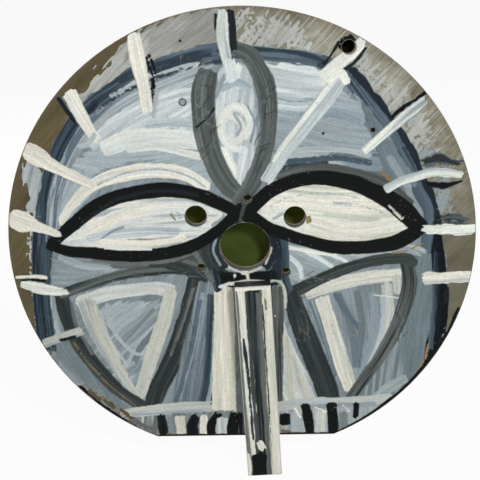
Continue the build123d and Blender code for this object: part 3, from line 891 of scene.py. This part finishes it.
dashLayer = [
    stroke("soft", 3, (-23, 238), (-24, 224), dry=0.1),
    stroke("soft", 9, (-10, 240), (-9, 222), (-8, 205), dry=0.05, endDry=0.2),
    stroke("milk", 11, (-17, 240, 8), (-18, 222, 12), (-16, 204, 11), (-13, 188, 8), (-12, 180, 6),
        second="paleBlue", mix=0.3, contrast=1.5, body=0.5, ragged=3),
    stroke("blueWhite", 12, (-12, 192), (-9, 176), dry=0.25, body=0.2),
    stroke("black", 6, (-92, 199, 7), (-88, 187, 7), (-86, 178, 3), dry=0.38, wobble=1.6),
    stroke("black", 4, (-88, 176), (-88, 160), (-89, 148), dry=0.46, wobble=2),
    stroke("iceBlue", 5, (-84, 166), (-87, 150), (-90, 140), dry=0.15),
    stroke("cream", 15, (-105, 219, 13), (-103, 204, 15), (-100, 186, 14), (-97, 166, 12), (-95, 146, 12),
        body=0.7, ragged=3, square=2.5, dry=0.02, second="blueWhite", mix=0.2),
    stroke("soft", 5, (-183, 160), (-176, 148), (-168, 136), dry=0.05),
    stroke("cream", 14, (-172, 164, 15), (-165, 148, 14), (-157, 132, 12), (-149, 118, 10), body=0.6,
        ragged=3, second="blueWhite", mix=0.2),
    stroke("iceBlue", 5, (-166, 110), (-156, 114), (-150, 122), dry=0.2),
    stroke("blob", 11, (-215, 105, 20), (-208, 100, 20), (-200, 94, 15), (-188, 87, 12), (-173, 79, 11),
        (-157, 71, 9), body=1.0, endDry=0.3, square=1, ragged=2),
    stroke("blob", 10, (-236, 34, 23), (-230, 31, 24), (-222, 28, 16), (-212, 24, 10), (-196, 18, 8),
        body=1.1, endDry=0.28, square=1, ragged=2),
    stroke("cream", 4, (-245, -30), (-228, -29), (-212, -31), body=0.4, dry=0.05, endDry=0.2),
    stroke("black", 2.6, (-240, -33), (-226, -33), (-213, -34), dry=0.05),
    stroke("milk", 12, (-238, -38, 8), (-222, -42, 13), (-206, -46, 11), (-193, -47, 7), body=0.7,
        endDry=0.3, square=1),
    stroke("creamGrey", 10, (-222, -107), (-200, -100), (-180, -93), dry=0.10, second="fieldBlue",
        mix=0.25, square=3, ragged=2),
    stroke("soft", 4, (-203, -104), (-186, -99), dry=0.2),
    stroke("soft", 4, (122, 204), (112, 190), (99, 179), dry=0.2),
    stroke("soft", 3.5, (96, 210), (88, 196), (80, 188), dry=0.15),
    stroke("black", 20, (103, 209), (108, 203), dry=0.2, wobble=2),
    stroke("iceBlue", 18, (100, 176, 13), (82, 152, 17), (60, 124, 16), (40, 98, 15), (24, 72, 12),
        second="blueWhite", mix=0.5, contrast=1.3, startDry=0.1),
    stroke("milk", 4, (92, 174), (72, 148), (50, 119), (30, 92), dry=0.06),
    stroke("cream", 12, (119, 209, 9), (108, 198, 13), (95, 188, 12), (80, 177, 10), body=0.6,
        second="blueWhite", mix=0.3, ragged=4, dry=0.04),
    stroke("milk", 8, (104, 170), (97, 180), (86, 172), dry=0.28),
    stroke("black", 4, (182, 159), (168, 149), (150, 134), dry=0.1, endDry=0.2, wobble=1.5),
    stroke("slate", 5, (178, 142), (162, 130), (150, 122), dry=0.1),
    stroke("milk", 11, (181, 149, 8), (164, 136, 10), (146, 120, 10), (124, 100, 8), body=0.55,
        second="fieldBlue", mix=0.35, contrast=1.6, ragged=3),
    stroke("soft", 9, (184, 86, 8), (202, 90, 12), (218, 87, 7), dry=0.24, wobble=3, ragged=6, soft=2.0,
        opacity=0.95, pick=0.3),
    stroke("black", 5, (188, 65, 3), (206, 62, 6), (222, 66, 3), dry=0.08, wobble=1.5, ragged=4, soft=1),
    stroke("milk", 9, (222, 73, 8), (206, 76, 9), (190, 76, 9), (174, 72, 9), (160, 67, 9), (147, 60, 10),
        body=0.5, second="iceBlue", mix=0.4, contrast=1.5),
    stroke("soft", 8, (200, 26, 8), (216, 29, 10), (232, 26, 6), dry=0.2, wobble=3, ragged=6, soft=1.8,
        opacity=0.95, pick=0.25),
    stroke("soft", 12, (198, 17), (218, 18), (236, 15), dry=0.2, soft=1.5, opacity=0.85, wobble=2,
        ragged=4),
    stroke("milk", 11, (240, 15), (216, 15), (188, 16), dry=0.34, body=0.4, square=3, ragged=4,
        wobble=1.6, pick=0.3),
    stroke("milk", 8, (206, 15), (188, 16), dry=0.2, body=0.3, square=3, ragged=4),
    stroke("cream", 13, (238, -38), (212, -38), (190, -38), body=0.5, second="iceBlue", mix=0.25,
        square=3, ragged=4, dry=0.2, wobble=1.3),
    stroke("soft", 6, (214, -54), (214, -66), dry=0.1),
    # dark line round the lower rim and the flat
    stroke("black", 4, (-186, -160), (-166, -180), (-142, -200), (-116, -221), dry=0.04),
    stroke("black", 3, (-118, -223), (-60, -223), (0, -223), (60, -223), (106, -223), dry=0.05),
    stroke("black", 7, (104, -222), (130, -206), (156, -184), (180, -162), (200, -134), dry=0.03),
    stroke("black", 4, (198, -138), (216, -104), (228, -74), dry=0.1),
    stroke("ochre", 3.4, (197, -116), (192, -137), (172, -156), dry=0.5),
    stroke("tan", 9, (-180, -158), (-160, -178), (-138, -196), dry=0.52),
    stroke("tan", 3, (146, 73), (149, 68), dry=0.2),
]
faceLayers = [
    groundLayer, ringLayer, foreheadLayer, cheekLayer, bridgeLayer, almondLayer, eyeLayer, mouthLayer,
    dashLayer,
]
# middle, spread and angle of each patch of scrapes
faceScratches = [
    (-38, 150, 4, 14, 30), (-34, 110, 4, 12, 35), (26, 150, 3, 14, 60), (22, 104, 4, 14, 60),
    (70, -38, 12, 3, 20), (-100, -30, 26, 3, 10), (-66, -90, 5, 24, 70), (60, -92, 4, 20, -65),
    (165, -90, 4, 20, 70),
]
faceChips = [
    [(-176, -166), (-166, -176)], [(-160, -178), (-150, -186)],
    [(-142, -190), (-132, -200)], [(-134, -206), (-128, -212)],
]


def paintFace(coat):
    x0, z0, radius = coat["disc"]
    sheet = newSheet((x0 - radius, coat["flat"] - 1), (x0 + radius, z0 + radius), coat["cell"], "fieldBlue")
    for number, layer in enumerate(faceLayers):
        layGroup(sheet, layer, seeds["face"] + seeds["layerStep"] * number)
    for number, (x, z, dx, dz, angle) in enumerate(faceScratches):
        seed = seeds["scrapes"] + seeds["scrapeStep"] * number
        scratchPatch(sheet, ("smoke", "charcoal"), (x, z), (dx, dz), angle, 12, seed)
    fleckPaint(sheet, "graphite", 1.5, 0.88, 0.5, seeds["greyFlecks"])
    fleckPaint(sheet, "milk", 1.7, 0.88, 0.14, seeds["paleFlecks"])
    for number, chip in enumerate(faceChips):
        chipPaint(sheet, chip, 4, seeds["chips"] + number)
    x, z = sheet["x"], sheet["z"]
    room = radius - coat["rimGap"] - np.hypot(x - x0, z - z0)
    room = np.minimum(room, z - coat["flat"] - coat["rimGap"])
    reach, start, count, size = coat["boltHoles"]
    turns = [math.radians(start + 360 * k / count) for k in range(count)]
    bolts = [(reach * math.cos(a), reach * math.sin(a), size) for a in turns]
    for hx, hz, hr in coat["holes"] + bolts + coat["pricks"]:
        room = np.minimum(room, np.hypot(x - hx, z - hz) - hr - coat["holeGap"])
    return sheet, room


def blurred(values):
    padded = np.pad(values, 1, mode="edge")
    rows = padded[:-2] + 2 * padded[1:-1] + padded[2:]
    return (rows[:, :-2] + 2 * rows[:, 1:-1] + rows[:, 2:]) / 16


def crowd(mask, reach):
    # how many cells around each one are painted
    total = np.pad(mask.astype(float), ((reach + 1, reach), (reach + 1, reach))).cumsum(0).cumsum(1)
    size = 2 * reach + 1
    return total[size:, size:] - total[:-size, size:] - total[size:, :-size] + total[:-size, :-size]


def paintedCells(sheet, room, speck):
    # how far inside the paint's edge each point lies, and which cells are painted
    depth = np.minimum((blurred(sheet["cover"]) - 0.5) * 1.4, room)
    inside = depth > 0
    inside &= crowd(inside, 3) > speck
    depth = np.where(inside, depth, np.minimum(depth, -0.05))
    cells = inside[:-1, :-1] | inside[1:, :-1] | inside[:-1, 1:] | inside[1:, 1:]
    return depth, inside, cells


def buildCoat(name, sheet, room, coat, toWorld):
    # closed film: a relief on top, a flat underside, and a skirt round every edge
    depth, inside, cells = paintedCells(sheet, room, coat["speck"])
    cell = sheet["cell"]
    gz, gx = np.gradient(depth, cell)
    steep = gx**2 + gz**2 + 1e-3
    shift = np.where(inside, 0, -depth / steep)
    dx = np.clip(shift * gx, -1.2 * cell, 1.2 * cell)
    dz = np.clip(shift * gz, -1.2 * cell, 1.2 * cell)
    rows, columns = depth.shape
    used = np.zeros((rows, columns), bool)
    for dj in (0, 1):
        for di in (0, 1):
            used[dj:rows - 1 + dj, di:columns - 1 + di] |= cells
    index = np.full((rows, columns), -1)
    index[used] = np.arange(used.sum())
    count = int(used.sum())
    height = coat["film"] + blurred(sheet["height"]) * fade(-0.2, 1.1, depth)
    across = (sheet["x"] + dx)[used]
    up = (sheet["z"] + dz)[used]
    top = toWorld(across, up, height[used])
    under = toWorld(across, up, np.full(count, -0.05))
    a, b = index[:-1, :-1][cells], index[:-1, 1:][cells]
    c, d = index[1:, 1:][cells], index[1:, :-1][cells]
    topFaces = np.column_stack([a, b, c, d])
    padded = np.pad(cells, 1)
    open4 = [~padded[:-2, 1:-1], ~padded[1:-1, 2:], ~padded[2:, 1:-1], ~padded[1:-1, :-2]]
    ends = [(a, b), (b, c), (c, d), (d, a)]
    first = np.concatenate([p[o[cells]] for (p, q), o in zip(ends, open4)])
    second = np.concatenate([q[o[cells]] for (p, q), o in zip(ends, open4)])
    skirt = np.column_stack([second, first, first + count, second + count])
    faces = np.vstack([topFaces, topFaces[:, ::-1] + count, skirt])
    mesh = bpy.data.meshes.new(name)
    mesh.vertices.add(2 * count)
    mesh.vertices.foreach_set("co", np.vstack([top, under]).astype(np.float32).ravel())
    mesh.loops.add(faces.size)
    mesh.loops.foreach_set("vertex_index", faces.astype(np.int32).ravel())
    mesh.polygons.add(len(faces))
    mesh.polygons.foreach_set("loop_start", np.arange(0, faces.size, 4, dtype=np.int32))
    mesh.update(calc_edges=True)
    smooth = np.zeros(len(faces), bool)
    smooth[:len(topFaces)] = True
    mesh.polygons.foreach_set("use_smooth", smooth)
    colour = np.column_stack([sheet["colour"][used], np.ones(count)])
    tint = mesh.attributes.new("paintColour", "FLOAT_COLOR", "POINT")
    tint.data.foreach_set("color", np.vstack([colour, colour]).astype(np.float32).ravel())
    brush = sheet["brush"][used]
    lie = mesh.attributes.new("brushPlace", "FLOAT_VECTOR", "POINT")
    lie.data.foreach_set("vector", np.vstack([brush, brush]).astype(np.float32).ravel())
    # flat map for the face, with the hidden underside small in a corner
    low = np.array([across.min(), up.min()])
    span = max(np.ptp(across), np.ptp(up))
    flat = (np.column_stack([across, up]) - low) / span
    middle = flat.mean(0)
    outward = flat - middle
    outward /= np.maximum(np.hypot(*outward.T)[:, None], 1e-6)
    corners = np.vstack([
        flat[topFaces.ravel()],
        0.012 + 0.08 * flat[topFaces[:, ::-1].ravel()],
        np.stack([flat[second], flat[first], flat[first] + 0.001 * outward[first],
                  flat[second] + 0.001 * outward[second]], 1).reshape(-1, 2),
    ])
    layer = mesh.uv_layers.new(name="OFBake", do_init=False)
    layer.uv.foreach_set("vector", (0.004 + 0.992 * corners).astype(np.float32).ravel())
    mesh.validate()
    piece = addObject(name, mesh)
    print(name, "has", len(topFaces), "painted cells")
    return piece


# Brushed paint: colour from the strokes, fine bristle lines along them
brushedPaint = dict(
    streakShade=0.2,
    speckShade=0.12,
    roughLow=0.42,
    roughHigh=0.62,
    bristleDepth=0.22 * mm,
    bristleStrength=0.5,
    specular=0.09,
)


def makeBrushedPaint(finish):
    material, tree, shader = newMaterial("brushedPaint")
    colour = addNode(tree, "ShaderNodeAttribute", dict(attribute_name="paintColour")).outputs["Color"]
    place = addNode(tree, "ShaderNodeAttribute", dict(attribute_name="brushPlace")).outputs["Vector"]
    drawn = addNode(tree, "ShaderNodeMapping", Vector=place, Scale=(0.03, 1.05, 1.7)).outputs[0]
    bristle = noiseNode(tree, drawn, 1.0, 3.0, 0.62)
    wide = addNode(tree, "ShaderNodeMapping", Vector=place, Scale=(0.02, 0.33, 2.3)).outputs[0]
    swathe = noiseNode(tree, wide, 1.0, 1.0)
    speck = noiseNode(tree, objectPlace(tree), 520.0, 3.0, 0.7)
    shade = rangeNode(tree, bristle, 0.25, 0.75, 1 - finish["streakShade"], 1 + finish["streakShade"])
    dust = rangeNode(tree, speck, 0.3, 0.7, 1 - finish["speckShade"], 1 + finish["speckShade"])
    factor = mathsNode(tree, "MULTIPLY", shade, dust)
    grey = addNode(tree, "ShaderNodeCombineColor", Red=factor, Green=factor, Blue=factor).outputs[0]
    tone = mixColours(tree, 1.0, colour, grey, "MULTIPLY")
    gloss = rangeNode(tree, swathe, 0.3, 0.7, finish["roughLow"], finish["roughHigh"])
    setShader(tree, shader, tone, gloss, specular=finish["specular"])
    lift = mathsNode(tree, "ADD", bristle, mathsNode(tree, "MULTIPLY", speck, 0.35))
    addBump(tree, shader, lift, finish["bristleStrength"], finish["bristleDepth"])
    return material


faceSheet, faceRoom = paintFace(faceCoat)
brushedMaterial = makeBrushedPaint(brushedPaint)


def onFace(across, up, height):
    return np.column_stack([across, -faceCoat["front"] - height, up]) * mm


facePaint = buildCoat("face_paint", faceSheet, faceRoom, faceCoat, onFace)
facePaint.data.materials.append(brushedMaterial)
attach(facePaint, "root")
print("face painted")

# Nose paint, on the batten's front
noseCoat = dict(
    cell=0.45,
    film=0.09,
    speck=4,
    half=19.0,
    length=226.7,
    top=(7.2, -38.5),
    lean=2.6,
    front=30.0,
    arris=0.75,
)
noseLayer = [
    field(("creamGrey", "washGrey", "cream"), 90, (-22, 3), (22, 3), (22, -231), (-22, -231), ragged=0,
        run=60, gauge=2),
    stroke("washGrey", 4, (-18, 0, 4), (-17.6, -100, 4), (-16.5, -228, 6), dry=0.16, second="graphite",
        mix=0.4),
    stroke("cream", 7, (-12.5, 0), (-12.5, -60), (-11.5, -130), (-10.5, -228, 5), body=0.35,
        second="blueWhite", mix=0.3),
    stroke("graphite", 4, (-6.5, -6), (-7, -80), (-6.5, -160), (-6, -228), dry=0.12),
    stroke("charcoal", 3, (-13, -60), (-11, -120), (-10, -180), dry=0.3),
    stroke("soft", 11, (0.5, -4, 14), (0, -30, 12), (-0.6, -110, 9), (-0.4, -228, 9), second="graphite",
        mix=0.3, contrast=1.4, dry=0.06, square=3, wobble=1.2),
    stroke("graphite", 6, (5.5, -8), (5, -80), (5, -150), (5, -228), second="smoke", mix=0.4, dry=0.1),
    stroke("cream", 10, (14, 0, 9), (13.6, -60, 10), (13.6, -130, 10), (13.8, -228, 10), body=0.4,
        second="creamGrey", mix=0.4, square=3),
    stroke("charcoal", 1.3, (9, -20), (9.4, -110), (9, -190), dry=0.34),
    stroke("tan", 2.6, (12, -14), (13, -26), dry=0.3),
    stroke("black", 4, (-4, -196), (-5, -212), dry=0.3),
    stroke("cream", 8, (-3, -184), (-1, -192), body=0.6),
    stroke("black", 17, (-5.5, -201), (-5.5, -226), square=3, ragged=1.5),
    stroke("cream", 4, (-17, -198), (-17, -228), dry=0.05),
    stroke("cream", 3.2, (-19, -1.6), (19, -1.6), dry=0.1),
]


def paintNose(coat):
    low = (-coat["half"] - 1, -coat["length"] - 1)
    sheet = newSheet(low, (coat["half"] + 1, 1), coat["cell"], "creamGrey")
    layGroup(sheet, noseLayer, seeds["nose"])
    inset = coat["arris"]
    room = np.minimum(coat["half"] - inset - np.abs(sheet["x"]), -inset - sheet["z"])
    room = np.minimum(room, sheet["z"] + coat["length"] - inset)
    return sheet, room


def onNose(across, up, height):
    lean = math.radians(noseCoat["lean"])
    x = noseCoat["top"][0] - up * math.sin(lean) + across * math.cos(lean)
    z = noseCoat["top"][1] + up * math.cos(lean) + across * math.sin(lean)
    return np.column_stack([x, -noseCoat["front"] - height, z]) * mm


noseSheet, noseRoom = paintNose(noseCoat)
nosePaint = buildCoat("nose_paint", noseSheet, noseRoom, noseCoat, onNose)
nosePaint.data.materials.append(brushedMaterial)
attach(nosePaint, "root")
print("nose painted")

# Wood. Past the first distance from the axis is the rim, and nearer than the second are the hole walls.
wallReach = (0.2, 0.16)
bareWood = dict(
    grainTurn=48,
    left=(108, 97, 68),
    leftDark=(64, 56, 36),
    right=(104, 100, 82),
    rightPale=(146, 143, 124),
    lowRight=(72, 68, 54),
    rim=(92, 82, 62),
    wallDark=(40, 42, 42),
    wallPale=(128, 128, 120),
    scratch=(214, 212, 200),
    haze=(192, 193, 184),
    rough=0.72,
    specular=0.2,
)


def makeFaceWood(wood):
    material, tree, shader = newMaterial("faceWood")
    place = objectPlace(tree)
    split = addNode(tree, "ShaderNodeSeparateXYZ", Vector=place)
    x, z = split.outputs[0], split.outputs[2]
    along = stretched(tree, place, (40, 1, 700), wood["grainTurn"])
    grain = noiseNode(tree, along, 1.0, 5.0, 0.6)
    bands = noiseNode(tree, stretched(tree, place, (6, 1, 60), wood["grainTurn"]), 1.0, 3.0)
    cloud = noiseNode(tree, place, 22.0, 4.0, 0.6)
    streaks = mathsNode(tree, "MULTIPLY", mathsNode(tree, "ADD", grain, bands), 0.5)
    streaks = rangeNode(tree, streaks, 0.36, 0.64)
    leftTone = mixColours(tree, streaks, wood["leftDark"], wood["left"])
    rightTone = mixColours(tree, streaks, wood["right"], wood["rightPale"])
    side = rangeNode(tree, addScaled(tree, x, z, 0.35), -0.02, 0.06)
    tone = mixColours(tree, side, leftTone, rightTone)
    stain = rangeNode(tree, cloud, 0.52, 0.7, 0.0, 0.4)
    tone = mixColours(tree, stain, tone, wood["leftDark"])
    low = rangeNode(tree, z, 0.12, 0.02, 0.0, 0.5)
    tone = mixColours(tree, mathsNode(tree, "MULTIPLY", low, side), tone, wood["lowRight"])
    high = mathsNode(tree, "MULTIPLY", rangeNode(tree, z, 0.0, 0.12), side)
    scratches = noiseNode(tree, stretched(tree, place, (14, 1, 900), wood["grainTurn"]), 1.0, 2.0, 0.7)
    lines = rangeNode(tree, scratches, 0.58, 0.66)
    veil = rangeNode(tree, noiseNode(tree, place, 45.0, 6.0, 0.75), 0.46, 0.6)
    wash = mathsNode(tree, "MAXIMUM", lines, mathsNode(tree, "MULTIPLY", veil, 0.34))
    tone = mixColours(tree, mathsNode(tree, "MULTIPLY", high, wash), tone, wood["haze"])
    reach = fromAxis(tree, place)
    worn = addScaled(tree, reach, cloud, 0.03)
    tone = mixColours(tree, rangeNode(tree, worn, 0.246, 0.262, 0.0, 0.7), tone, wood["rim"])
    daubed = rangeNode(tree, noiseNode(tree, place, 160.0, 3.0, 0.6), 0.42, 0.58)
    inner = mixColours(tree, daubed, wood["wallDark"], wood["wallPale"])
    tone = mixColours(tree, rangeNode(tree, reach, *wallReach), tone, inner)
    fine = noiseNode(tree, stretched(tree, place, (11, 1, 1500), wood["grainTurn"]), 1.0, 1.0, 0.5)
    fine = mathsNode(tree, "MULTIPLY", high, rangeNode(tree, fine, 0.66, 0.7))
    tone = mixColours(tree, fine, tone, wood["scratch"])
    setShader(tree, shader, tone, wood["rough"], specular=wood["specular"])
    addBump(tree, shader, grain, 0.45, 0.35 * mm)
    return material


# Inner plies: fibres end-on, darker inside the holes than at the rim
plies = dict(
    front_cross_veneer=dict(
        name="plyFrontCross", light=(112, 96, 70), dark=(66, 56, 40), grime=(40, 40, 36)),
    core_veneer=dict(
        name="plyCore", light=(138, 120, 88), dark=(92, 78, 54), grime=(52, 48, 40)),
    back_cross_veneer=dict(
        name="plyBackCross", light=(118, 98, 68), dark=(76, 62, 42), grime=(46, 44, 38)),
)
plyWall = (30, 30, 28)


def makePlyEdge(ply):
    material, tree, shader = newMaterial(ply["name"])
    place = objectPlace(tree)
    fibres = noiseNode(tree, stretched(tree, place, (90, 1600, 90)), 1.0, 3.0, 0.6)
    blotch = noiseNode(tree, place, 60.0, 4.0, 0.6)
    tone = mixColours(tree, rangeNode(tree, fibres, 0.3, 0.7), ply["dark"], ply["light"])
    tone = mixColours(tree, rangeNode(tree, blotch, 0.5, 0.72, 0.0, 0.7), tone, ply["grime"])
    tone = mixColours(tree, rangeNode(tree, fromAxis(tree, place), *wallReach), tone, plyWall)
    setShader(tree, shader, tone, 0.8)
    addBump(tree, shader, fibres, 0.5, 0.3 * mm)
    return material


backWood = dict(
    grainTurn=48,
    dark=(128, 104, 70),
    light=(176, 150, 108),
    band=(148, 116, 74),
    stain=(98, 84, 60),
    rough=0.78,
)


def makeBackWood(wood):
    material, tree, shader = newMaterial("backWood")
    place = objectPlace(tree)
    grain = noiseNode(tree, stretched(tree, place, (22, 1, 520), wood["grainTurn"]), 1.0, 5.0, 0.62)
    bands = noiseNode(tree, stretched(tree, place, (5, 1, 48), wood["grainTurn"]), 1.0, 3.0)
    stain = noiseNode(tree, place, 9.0, 5.0, 0.6)
    tone = mixColours(tree, rangeNode(tree, grain, 0.32, 0.68), wood["dark"], wood["light"])
    tone = mixColours(tree, rangeNode(tree, bands, 0.4, 0.7, 0.0, 0.5), tone, wood["band"])
    tone = mixColours(tree, rangeNode(tree, stain, 0.5, 0.72, 0.0, 0.6), tone, wood["stain"])
    setShader(tree, shader, tone, wood["rough"])
    addBump(tree, shader, grain, 0.5, 0.4 * mm)
    return material


# Batten: pine, with paint run down its sides and over the top end
battenWood = dict(
    lean=2.6,
    dark=(122, 98, 64),
    light=(178, 150, 106),
    dull=(96, 88, 72),
    paintDark=(188, 190, 180),
    paintPale=(222, 220, 208),
    paintGrey=(92, 97, 95),
    topEnd=(26, 27, 28),
    paintEdge=(-0.0105, -0.0118),
    topEdge=(-0.0405, -0.0395),
    greyEdge=(-0.042, -0.05),
    arrisEdge=(-0.0265, -0.0255),
)


def makeBattenWood(wood):
    material, tree, shader = newMaterial("battenWood")
    place = objectPlace(tree)
    split = addNode(tree, "ShaderNodeSeparateXYZ", Vector=place)
    y, z = split.outputs[1], split.outputs[2]
    grain = noiseNode(tree, stretched(tree, place, (420, 300, 14), wood["lean"]), 1.0, 4.0, 0.6)
    pine = mixColours(tree, rangeNode(tree, grain, 0.3, 0.7), wood["dark"], wood["light"])
    cloud = noiseNode(tree, place, 30.0, 4.0)
    pine = mixColours(tree, rangeNode(tree, cloud, 0.5, 0.7, 0.0, 0.5), pine, wood["dull"])
    edge = noiseNode(tree, stretched(tree, place, (120, 120, 60)), 1.0, 4.0, 0.65)
    sides = rangeNode(tree, addScaled(tree, y, edge, 0.016), *wood["paintEdge"])
    topEnd = rangeNode(tree, addScaled(tree, z, edge, 0.002), *wood["topEdge"])
    painted = mathsNode(tree, "MAXIMUM", sides, topEnd)
    streak = noiseNode(tree, stretched(tree, place, (500, 500, 26), wood["lean"]), 1.0, 3.0, 0.6)
    tone = mixColours(tree, rangeNode(tree, streak, 0.4, 0.62), wood["paintDark"], wood["paintPale"])
    grey = rangeNode(tree, noiseNode(tree, stretched(tree, place, (160, 160, 18)), 1.0, 3.0), 0.56, 0.64)
    grey = mathsNode(tree, "MULTIPLY", grey, rangeNode(tree, z, *wood["greyEdge"]))
    tone = mixColours(tree, grey, tone, wood["paintGrey"])
    behindArris = rangeNode(tree, addScaled(tree, y, edge, 0.004), *wood["arrisEdge"])
    tone = mixColours(tree, mathsNode(tree, "MULTIPLY", topEnd, behindArris), tone, wood["topEnd"])
    tone = mixColours(tree, painted, pine, tone)
    setShader(tree, shader, tone, rangeNode(tree, painted, 0.0, 1.0, 0.75, 0.5))
    addBump(tree, shader, mathsNode(tree, "ADD", grain, painted), 0.5, 0.25 * mm)
    return material


def dress(nodeName, material):
    slots = nodes[nodeName].data.materials
    slots.clear()
    slots.append(material)


dress("front_face_veneer", makeFaceWood(bareWood))
for nodeName, ply in plies.items():
    dress(nodeName, makePlyEdge(ply))
dress("back_face_veneer", makeBackWood(backWood))
dress("nose_batten", makeBattenWood(battenWood))
print("wood finished")

# Fixings
fixings = dict(
    steel=(148, 144, 136),
    rust=(112, 66, 36),
    nailPaint=(160, 172, 177),
    nailDark=(66, 74, 80),
)


def makeSteel(name, steel, rust, amount, rough):
    material, tree, shader = newMaterial(name)
    place = objectPlace(tree)
    spots = rangeNode(tree, noiseNode(tree, place, 420.0, 5.0, 0.65), 0.62 - amount, 0.72 - amount)
    metal = rangeNode(tree, spots, 0.0, 1.0, 1.0, 0.1)
    dull = rangeNode(tree, spots, 0.0, 1.0, rough, 0.85)
    setShader(tree, shader, mixColours(tree, spots, steel, rust), dull, metal=metal)
    addBump(tree, shader, noiseNode(tree, place, 900.0, 4.0, 0.6), 0.3, 0.1 * mm)
    return material


def makeNailPaint(finish):
    material, tree, shader = newMaterial("nailPaint")
    place = objectPlace(tree)
    drawn = noiseNode(tree, stretched(tree, place, (260, 1, 900), 30), 1.0, 3.0, 0.6)
    smear = rangeNode(tree, drawn, 0.4, 0.7)
    tone = mixColours(tree, smear, finish["nailPaint"], finish["nailDark"])
    setShader(tree, shader, tone, 0.5)
    addBump(tree, shader, smear, 0.4, 0.12 * mm)
    return material


dress("nose_screws", makeSteel("screwSteel", fixings["steel"], fixings["rust"], 0.1, 0.38))
dress("side_pin", makeSteel("pinSteel", fixings["steel"], fixings["rust"], 0.04, 0.3))
dress("forehead_nail", makeNailPaint(fixings))
print("fixings finished")
